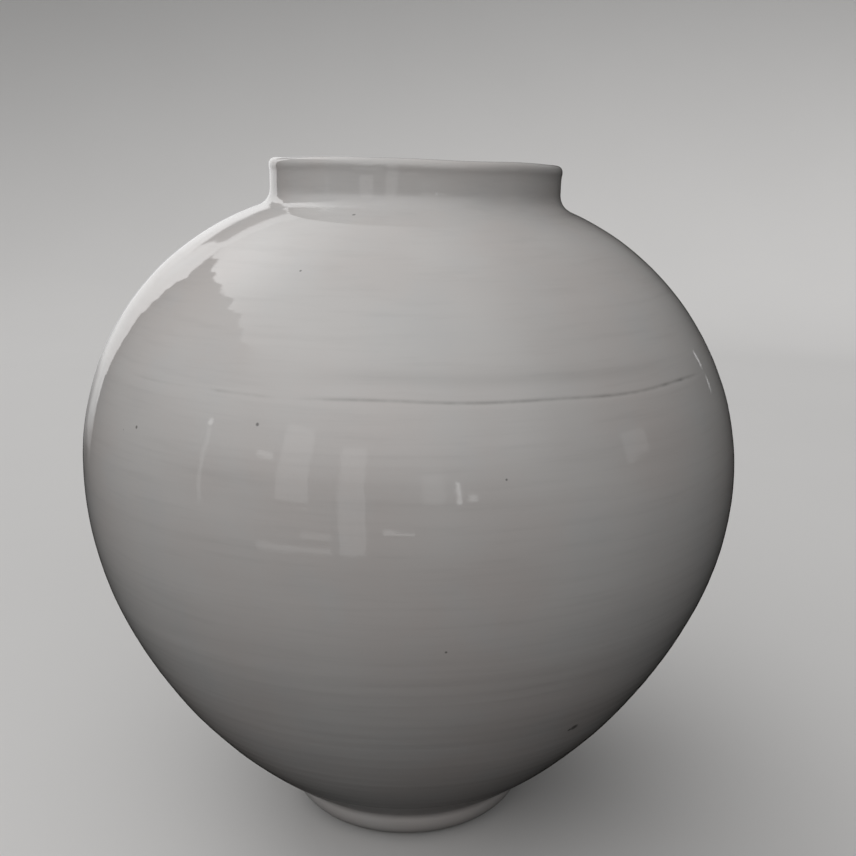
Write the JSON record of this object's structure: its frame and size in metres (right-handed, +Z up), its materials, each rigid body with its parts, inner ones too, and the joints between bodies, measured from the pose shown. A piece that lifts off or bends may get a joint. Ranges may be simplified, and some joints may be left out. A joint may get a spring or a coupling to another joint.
{
  "type": "moon jar",
  "caption": "Large round white porcelain jar of two luted bowls, with a low upright collar and a narrower foot ring, glazed inside and out, for storage, flowers or display.",
  "frame": {"origin": "middle of the foot's resting face, on the surface that the jar stands on", "axes": "+Z up along the jar's axis; -Y towards the picture's view; +X on the right in it, the side to which the collar leans"},
  "size_m": [0.4499, 0.45, 0.4676],
  "materials": {
    "porcelain_clay": "fired porcelain clay, matt where it is bare",
    "luting_slip": "fired slip in the joints",
    "white_glaze": "glossy, faintly grey white glaze with fine wheel lines"
  },
  "bodies": {
    "root": {"lower_bowl": "porcelain_clay", "upper_bowl": "porcelain_clay", "belly_slip": "luting_slip", "neck_collar": "porcelain_clay", "neck_slip": "luting_slip", "foot_ring": "porcelain_clay", "foot_slip": "luting_slip", "outer_glaze": "white_glaze", "inner_glaze": "white_glaze", "recess_glaze": "white_glaze"}
  },
  "joints": []
}
